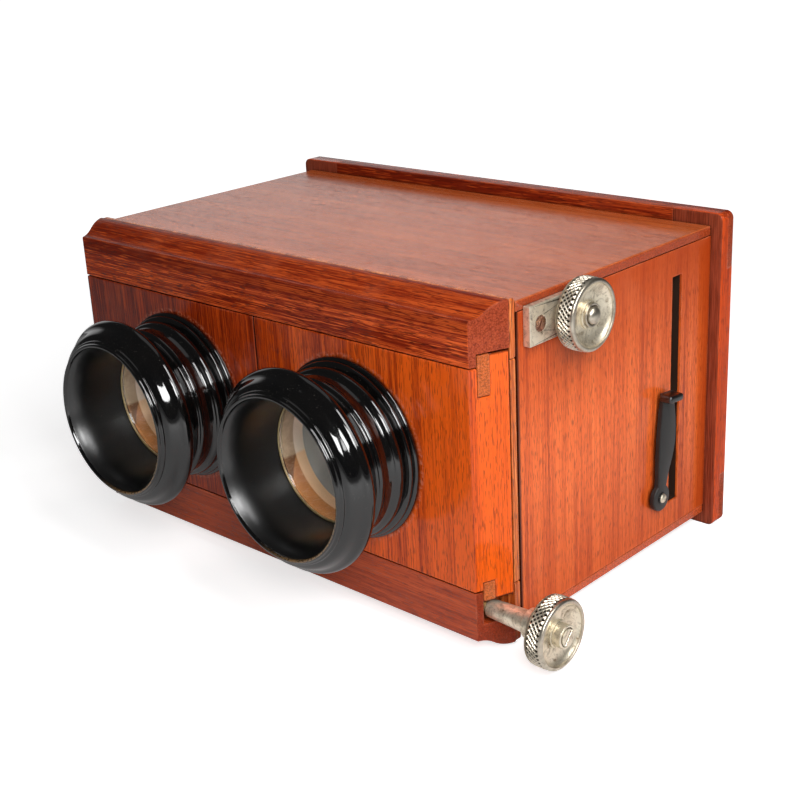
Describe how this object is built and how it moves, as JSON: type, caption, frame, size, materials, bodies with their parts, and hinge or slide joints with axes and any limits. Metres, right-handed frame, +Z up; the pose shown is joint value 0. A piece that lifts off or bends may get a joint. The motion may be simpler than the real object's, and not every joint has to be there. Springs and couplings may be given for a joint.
{
  "type": "box stereoscope",
  "caption": "Mahogany box stereoscope for glass slides, with black eyepieces, a rack focus drawer, an eye-distance spindle and a slot lever.",
  "frame": {"origin": "centre of the case's underside", "axes": "+X towards the side with the knobs and the slide slot, -Y towards the eyepieces, +Z up"},
  "size_m": [0.1723, 0.125, 0.0891],
  "materials": {
    "case_mahogany": "oiled, worn, straight fine grain",
    "rail_mahogany": "oiled, darker, grain along the rails",
    "inside_wood": "plain, unpolished",
    "black_ebonite": "polished black, satin inside the mouth",
    "lens_glass": "clear, polished",
    "frosted_glass": "ground, matt",
    "worn_nickel": "worn nickel plate, polished rims",
    "brass_work": "aged, dull",
    "dark_steel": "dark grey, satin"
  },
  "bodies": {
    "case": {"case_top": "case_mahogany", "case_bottom": "case_mahogany", "case_side_left": "case_mahogany", "case_side_right": "case_mahogany", "rear_frame_top_rail": "rail_mahogany", "rear_frame_bottom_rail": "rail_mahogany", "rear_frame_left_stile": "rail_mahogany", "rear_frame_right_stile": "rail_mahogany", "ground_glass": "frosted_glass", "glass_bead_top": "inside_wood", "glass_bead_bottom": "inside_wood", "glass_bead_left": "inside_wood", "glass_bead_right": "inside_wood", "slide_guide_top": "inside_wood", "slide_guide_bottom": "inside_wood", "septum": "inside_wood", "focus_bearing_plate": "worn_nickel", "plate_screws": "brass_work", "focus_bush": "brass_work", "lever_washer": "dark_steel", "lever_pivot_screw": "worn_nickel"},
    "lever": {"slot_lever": "dark_steel"},
    "focus": {"focus_shaft": "worn_nickel", "focus_knob": "worn_nickel", "focus_knob_nut": "worn_nickel", "pinion_left": "brass_work", "pinion_right": "brass_work"},
    "drawer": {"cornice": "rail_mahogany", "foot_rail": "rail_mahogany", "front_frame_top": "case_mahogany", "front_frame_bottom": "case_mahogany", "front_frame_left": "case_mahogany", "front_frame_right": "case_mahogany", "front_frame_muntin": "inside_wood", "drawer_side_left": "inside_wood", "drawer_side_right": "inside_wood", "rack_left": "brass_work", "rack_right": "brass_work", "spindle_bearing_left": "brass_work", "spindle_bearing_right": "brass_work"},
    "spindle": {"spindle": "worn_nickel", "spindle_collar": "worn_nickel", "spindle_knob": "worn_nickel", "spindle_knob_screw": "worn_nickel"},
    "left_panel": {"lens_panel_left": "case_mahogany", "panel_keys_left": "rail_mahogany", "nut_left": "brass_work", "eyecup_left": "black_ebonite", "lens_left": "lens_glass", "lens_ring_left": "brass_work"},
    "right_panel": {"lens_panel_right": "case_mahogany", "panel_keys_right": "rail_mahogany", "nut_right": "brass_work", "eyecup_right": "black_ebonite", "lens_right": "lens_glass", "lens_ring_right": "brass_work"}
  },
  "joints": [
    {"name": "focus_slide", "type": "slide", "parent": "case", "child": "drawer", "axis": [0, -1, 0], "range_m": [0, 0.015]},
    {"name": "focus_turn", "type": "hinge", "parent": "case", "child": "focus", "pos_m": [0, -0.023, 0.0759], "axis": [-1, 0, 0], "range_deg": [0, 287]},
    {"name": "spindle_turn", "type": "hinge", "parent": "drawer", "child": "spindle", "pos_m": [0, -0.0479, 0.0075], "axis": [1, 0, 0], "range_deg": [0, 720]},
    {"name": "right_panel_slide", "type": "slide", "parent": "drawer", "child": "right_panel", "axis": [1, 0, 0], "range_m": [0, 0.00401]},
    {"name": "left_panel_slide", "type": "slide", "parent": "drawer", "child": "left_panel", "axis": [-1, 0, 0], "range_m": [0, 0.00401]},
    {"name": "lever_swing", "type": "hinge", "parent": "case", "child": "lever", "pos_m": [0.0765, 0.0164, 0.01405], "axis": [1, 0, 0], "range_deg": [-15, 95]}
  ],
  "couplings": [
    {"joint": "focus_turn", "follows": "focus_slide", "rad_per_m": 333.33},
    {"joint": "right_panel_slide", "follows": "spindle_turn", "m_per_rad": 0.00031831},
    {"joint": "left_panel_slide", "follows": "spindle_turn", "m_per_rad": 0.00031831}
  ]
}
